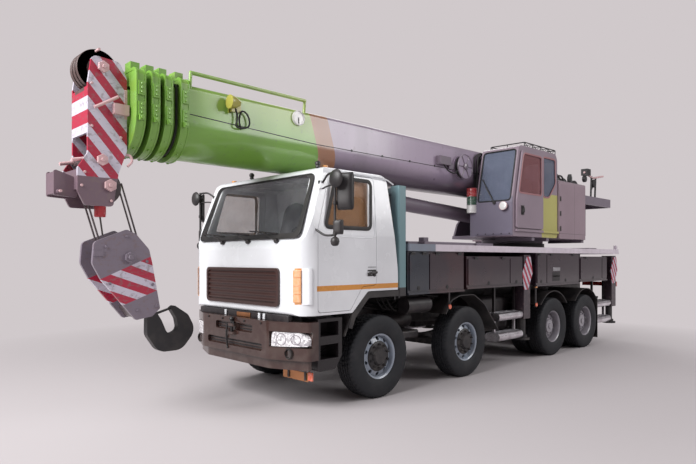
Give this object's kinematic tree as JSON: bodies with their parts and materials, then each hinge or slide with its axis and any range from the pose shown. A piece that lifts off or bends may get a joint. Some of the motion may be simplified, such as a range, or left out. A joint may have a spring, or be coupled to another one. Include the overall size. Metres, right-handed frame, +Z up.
{
  "type": "mobile crane",
  "caption": "Truck-mounted mobile crane with a telescopic boom stored over the cab, slewing superstructure with operator cab, hook block and sliding outriggers.",
  "frame": {"origin": "middle of the stored crane's length and width, on the ground", "axes": "+X towards the truck's front, +Y to its left, +Z up"},
  "size_m": [11.55, 3.3678, 4.0228],
  "materials": {
    "frame_paint": "satin",
    "bumper_paint": "satin",
    "deck_paint": "satin",
    "bright_steel": "brushed",
    "cab_paint": "gloss",
    "glass": "polished",
    "trim_plastic": "moulded",
    "lamp_lens": "polished",
    "tyre": "moulded",
    "grey_paint": "satin",
    "operator_paint": "satin",
    "boom_paint": "gloss",
    "head_paint": "gloss",
    "black_steel": "cast"
  },
  "bodies": {
    "carrier": {"chassis_frame": "frame_paint", "subframe": "frame_paint", "deck": "deck_paint", "side_lockers": "bumper_paint", "steps": "bright_steel", "mudguards": "bumper_paint", "headboard": "deck_paint", "cab_body": "cab_paint", "cab_glass": "glass", "cab_interior": "trim_plastic", "grille": "trim_plastic", "bumper": "bumper_paint", "lamps": "lamp_lens", "mirrors": "trim_plastic", "driveline": "frame_paint", "axles": "frame_paint", "tanks": "bumper_paint"},
    "cab_door_left": {"cab_door_left": "cab_paint", "cab_door_glass_left": "glass"},
    "cab_door_right": {"cab_door_right": "cab_paint", "cab_door_glass_right": "glass"},
    "wheel_1_left": {"wheel_1_left": "tyre"},
    "knuckle_1_left": {"knuckle_1_left": "frame_paint"},
    "wheel_1_right": {"wheel_1_right": "tyre"},
    "knuckle_1_right": {"knuckle_1_right": "frame_paint"},
    "wheel_2_left": {"wheel_2_left": "tyre"},
    "knuckle_2_left": {"knuckle_2_left": "frame_paint"},
    "wheel_2_right": {"wheel_2_right": "tyre"},
    "knuckle_2_right": {"knuckle_2_right": "frame_paint"},
    "wheel_3_left": {"wheel_3_left": "tyre"},
    "wheel_3_right": {"wheel_3_right": "tyre"},
    "wheel_4_left": {"wheel_4_left": "tyre"},
    "wheel_4_right": {"wheel_4_right": "tyre"},
    "superstructure": {"slew_platform": "grey_paint", "counterweight": "grey_paint", "machine_housing": "grey_paint", "winches": "grey_paint", "operator_cab": "operator_paint", "operator_glass": "glass", "operator_seat": "trim_plastic"},
    "operator_door": {"operator_door": "operator_paint", "operator_door_glass": "glass"},
    "boom_base": {"boom_base": "boom_paint"},
    "boom_section_2": {"boom_section_2": "boom_paint"},
    "boom_section_3": {"boom_section_3": "boom_paint"},
    "boom_section_4": {"boom_section_4": "boom_paint"},
    "boom_section_5": {"boom_section_5": "head_paint"},
    "luff_barrel": {"luff_barrel": "grey_paint"},
    "luff_rod": {"luff_rod": "bright_steel"},
    "hook_block": {"hook_block": "head_paint"},
    "hook": {"hook": "black_steel"},
    "outrigger_front_left": {"outrigger_front_left": "grey_paint"},
    "jack_front_left": {"jack_front_left": "bright_steel"},
    "outrigger_front_right": {"outrigger_front_right": "grey_paint"},
    "jack_front_right": {"jack_front_right": "bright_steel"},
    "outrigger_rear_left": {"outrigger_rear_left": "grey_paint"},
    "jack_rear_left": {"jack_rear_left": "bright_steel"},
    "outrigger_rear_right": {"outrigger_rear_right": "grey_paint"},
    "jack_rear_right": {"jack_rear_right": "bright_steel"}
  },
  "joints": [
    {"name": "left_cab_door", "type": "hinge", "parent": "carrier", "child": "cab_door_left", "pos_m": [3.203, 1.252, 1.9], "axis": [0, 0, -1], "range_deg": [0, 65]},
    {"name": "right_cab_door", "type": "hinge", "parent": "carrier", "child": "cab_door_right", "pos_m": [3.203, -1.252, 1.9], "axis": [0, 0, 1], "range_deg": [0, 65]},
    {"name": "steer_1_left", "type": "hinge", "parent": "carrier", "child": "knuckle_1_left", "pos_m": [2.1, 0.88, 0.54], "axis": [0, 0, 1], "range_deg": [-35, 35]},
    {"name": "spin_1_left", "type": "hinge", "parent": "knuckle_1_left", "child": "wheel_1_left", "pos_m": [2.1, 1.0825, 0.54], "axis": [0, 1, 0], "continuous": true},
    {"name": "steer_1_right", "type": "hinge", "parent": "carrier", "child": "knuckle_1_right", "pos_m": [2.1, -0.88, 0.54], "axis": [0, 0, 1], "range_deg": [-35, 35]},
    {"name": "spin_1_right", "type": "hinge", "parent": "knuckle_1_right", "child": "wheel_1_right", "pos_m": [2.1, -1.0825, 0.54], "axis": [0, 1, 0], "continuous": true},
    {"name": "steer_2_left", "type": "hinge", "parent": "carrier", "child": "knuckle_2_left", "pos_m": [0.15, 0.88, 0.54], "axis": [0, 0, 1], "range_deg": [-24.5, 24.5]},
    {"name": "spin_2_left", "type": "hinge", "parent": "knuckle_2_left", "child": "wheel_2_left", "pos_m": [0.15, 1.0825, 0.54], "axis": [0, 1, 0], "continuous": true},
    {"name": "steer_2_right", "type": "hinge", "parent": "carrier", "child": "knuckle_2_right", "pos_m": [0.15, -0.88, 0.54], "axis": [0, 0, 1], "range_deg": [-24.5, 24.5]},
    {"name": "spin_2_right", "type": "hinge", "parent": "knuckle_2_right", "child": "wheel_2_right", "pos_m": [0.15, -1.0825, 0.54], "axis": [0, 1, 0], "continuous": true},
    {"name": "spin_3_left", "type": "hinge", "parent": "carrier", "child": "wheel_3_left", "pos_m": [-2.7, 1.0825, 0.54], "axis": [0, 1, 0], "continuous": true},
    {"name": "spin_3_right", "type": "hinge", "parent": "carrier", "child": "wheel_3_right", "pos_m": [-2.7, -1.0825, 0.54], "axis": [0, 1, 0], "continuous": true},
    {"name": "spin_4_left", "type": "hinge", "parent": "carrier", "child": "wheel_4_left", "pos_m": [-4.1, 1.0825, 0.54], "axis": [0, 1, 0], "continuous": true},
    {"name": "spin_4_right", "type": "hinge", "parent": "carrier", "child": "wheel_4_right", "pos_m": [-4.1, -1.0825, 0.54], "axis": [0, 1, 0], "continuous": true},
    {"name": "slew", "type": "hinge", "parent": "carrier", "child": "superstructure", "pos_m": [-3.3, 0, 2.12], "axis": [0, 0, 1], "continuous": true},
    {"name": "operator_door_slide", "type": "slide", "parent": "superstructure", "child": "operator_door", "axis": [-1, 0, 0], "range_m": [0, 0.5]},
    {"name": "boom_luff", "type": "hinge", "parent": "superstructure", "child": "boom_base", "pos_m": [-4.25, 0, 3.45], "axis": [0, -1, 0], "range_deg": [0, 78]},
    {"name": "telescope_2", "type": "slide", "parent": "boom_base", "child": "boom_section_2", "axis": [1, 0, 0], "range_m": [0, 7.2]},
    {"name": "telescope_3", "type": "slide", "parent": "boom_section_2", "child": "boom_section_3", "axis": [1, 0, 0], "range_m": [0, 7.2]},
    {"name": "telescope_4", "type": "slide", "parent": "boom_section_3", "child": "boom_section_4", "axis": [1, 0, 0], "range_m": [0, 7.2]},
    {"name": "telescope_5", "type": "slide", "parent": "boom_section_4", "child": "boom_section_5", "axis": [1, 0, 0], "range_m": [0, 7.2]},
    {"name": "luff_barrel_tilt", "type": "hinge", "parent": "superstructure", "child": "luff_barrel", "pos_m": [-2.25, 0, 2.6], "axis": [0, -1, 0], "range_deg": [0, 88.92]},
    {"name": "luff_rod_slide", "type": "slide", "parent": "luff_barrel", "child": "luff_rod", "axis": [0.9983, 0, 0.0579], "range_m": [0, 2.59638]},
    {"name": "hook_block_swing", "type": "hinge", "parent": "boom_section_5", "child": "hook_block", "pos_m": [5.215, 0, 2.58], "axis": [0, -1, 0], "range_deg": [-53.09, 0]},
    {"name": "hook_swivel", "type": "hinge", "parent": "hook_block", "child": "hook", "pos_m": [4.665, 0, 1.18], "axis": [-0.422, 0, -0.9066], "continuous": true},
    {"name": "outrigger_front_left_slide", "type": "slide", "parent": "carrier", "child": "outrigger_front_left", "axis": [0, 1, 0], "range_m": [0, 1.75]},
    {"name": "jack_front_left_slide", "type": "slide", "parent": "outrigger_front_left", "child": "jack_front_left", "axis": [0, 0, -1], "range_m": [0, 0.55]},
    {"name": "outrigger_front_right_slide", "type": "slide", "parent": "carrier", "child": "outrigger_front_right", "axis": [0, -1, 0], "range_m": [0, 1.75]},
    {"name": "jack_front_right_slide", "type": "slide", "parent": "outrigger_front_right", "child": "jack_front_right", "axis": [0, 0, -1], "range_m": [0, 0.55]},
    {"name": "outrigger_rear_left_slide", "type": "slide", "parent": "carrier", "child": "outrigger_rear_left", "axis": [0, 1, 0], "range_m": [0, 1.75]},
    {"name": "jack_rear_left_slide", "type": "slide", "parent": "outrigger_rear_left", "child": "jack_rear_left", "axis": [0, 0, -1], "range_m": [0, 0.55]},
    {"name": "outrigger_rear_right_slide", "type": "slide", "parent": "carrier", "child": "outrigger_rear_right", "axis": [0, -1, 0], "range_m": [0, 1.75]},
    {"name": "jack_rear_right_slide", "type": "slide", "parent": "outrigger_rear_right", "child": "jack_rear_right", "axis": [0, 0, -1], "range_m": [0, 0.55]}
  ],
  "couplings": [
    {"joint": "steer_1_right", "follows": "steer_1_left", "ratio": 1},
    {"joint": "steer_2_left", "follows": "steer_1_left", "ratio": 0.7},
    {"joint": "steer_2_right", "follows": "steer_1_left", "ratio": 0.7},
    {"joint": "telescope_3", "follows": "telescope_2", "ratio": 1},
    {"joint": "telescope_4", "follows": "telescope_2", "ratio": 1},
    {"joint": "telescope_5", "follows": "telescope_2", "ratio": 1},
    {"joint": "luff_barrel_tilt", "follows": "boom_luff", "ratio": 1.1394},
    {"joint": "luff_rod_slide", "follows": "boom_luff", "m_per_rad": 1.9057},
    {"joint": "hook_block_swing", "follows": "boom_luff", "ratio": -0.67996}
  ]
}
